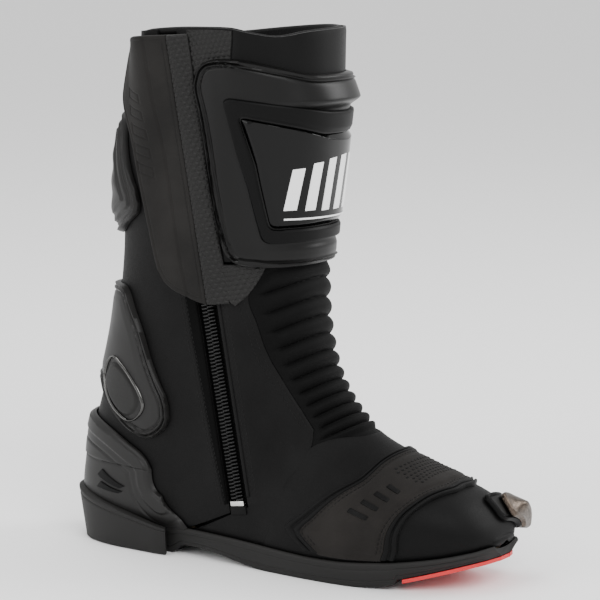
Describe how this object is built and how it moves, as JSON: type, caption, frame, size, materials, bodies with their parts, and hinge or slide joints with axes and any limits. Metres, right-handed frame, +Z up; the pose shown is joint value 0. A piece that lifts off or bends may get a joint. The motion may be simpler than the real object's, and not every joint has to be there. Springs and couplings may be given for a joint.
{
  "type": "riding boot",
  "caption": "Tall black motorcycle riding boot for the left foot with a shin plate, side zip under a hook-and-loop calf flap, heel and ankle armour and a toe slider.",
  "frame": {"origin": "on the ground under the middle of the boot's bounding box", "axes": "+Z up, toe towards -Y, inner side of the foot towards -X"},
  "size_m": [0.1316, 0.3101, 0.3416],
  "materials": {
    "leather": "matte black cowhide with a fine grain",
    "smooth_leather": "smoother black coated leather",
    "suede": "dull brown-black microfibre",
    "stretch": "black stretch textile",
    "moulded": "satin black thermoplastic polyurethane",
    "gloss": "polished black plastic",
    "rubber": "moulded black rubber",
    "red_rubber": "red rubber",
    "steel": "dull brownish steel",
    "nickel": "plated zinc",
    "zip": "glossy black nylon",
    "lining": "black brushed textile",
    "board": "pressed fibre board",
    "foam": "grey cellular foam"
  },
  "bodies": {
    "boot": {"outsole": "rubber", "red_tread": "red_rubber", "insole_board": "board", "steel_shank": "steel", "footbed": "foam", "shaft_front_panel": "leather", "pleated_front": "stretch", "inner_front_panel": "leather", "inner_rear_panel": "leather", "outer_side_panel": "leather", "vamp": "leather", "toe_cap": "smooth_leather", "heel_counter": "moulded", "toe_puff": "moulded", "shin_foam": "foam", "ankle_pad_inner": "foam", "ankle_pad_outer": "foam", "shaft_lining": "lining", "foot_lining": "lining", "shin_plate": "moulded", "shin_frame": "moulded", "shin_insert": "gloss", "calf_plate": "moulded", "ankle_brace": "moulded", "badge_rim_inner": "nickel", "badge_inner": "smooth_leather", "badge_rim_outer": "nickel", "badge_outer": "smooth_leather", "heel_cup": "moulded", "shift_pad": "suede", "slider_bracket": "moulded", "toe_slider": "steel", "slider_screw_1": "nickel", "slider_screw_2": "nickel", "zip_tape_front": "stretch", "zip_tape_rear": "stretch", "zip_teeth_front": "zip", "zip_teeth_rear": "zip", "zip_bottom_stop": "nickel", "zip_top_stop": "nickel", "zip_gusset": "leather", "strip_tail": "leather", "loop_pad": "lining"},
    "calf_flap": {"calf_flap": "leather", "flap_stretch_strip": "stretch", "hook_pad": "lining"},
    "zip_slider": {"zip_slider": "nickel", "zip_pull": "nickel"}
  },
  "joints": [
    {"name": "flap_hinge", "type": "hinge", "parent": "boot", "child": "calf_flap", "pos_m": [-0.05081, -0.00527, 0.04546], "axis": [-0.0504, 0.143, 0.9884], "range_deg": [0, 105]},
    {"name": "zip_travel", "type": "slide", "parent": "boot", "child": "zip_slider", "axis": [0.0504, -0.143, -0.9884], "range_m": [0, 0.2592]}
  ]
}
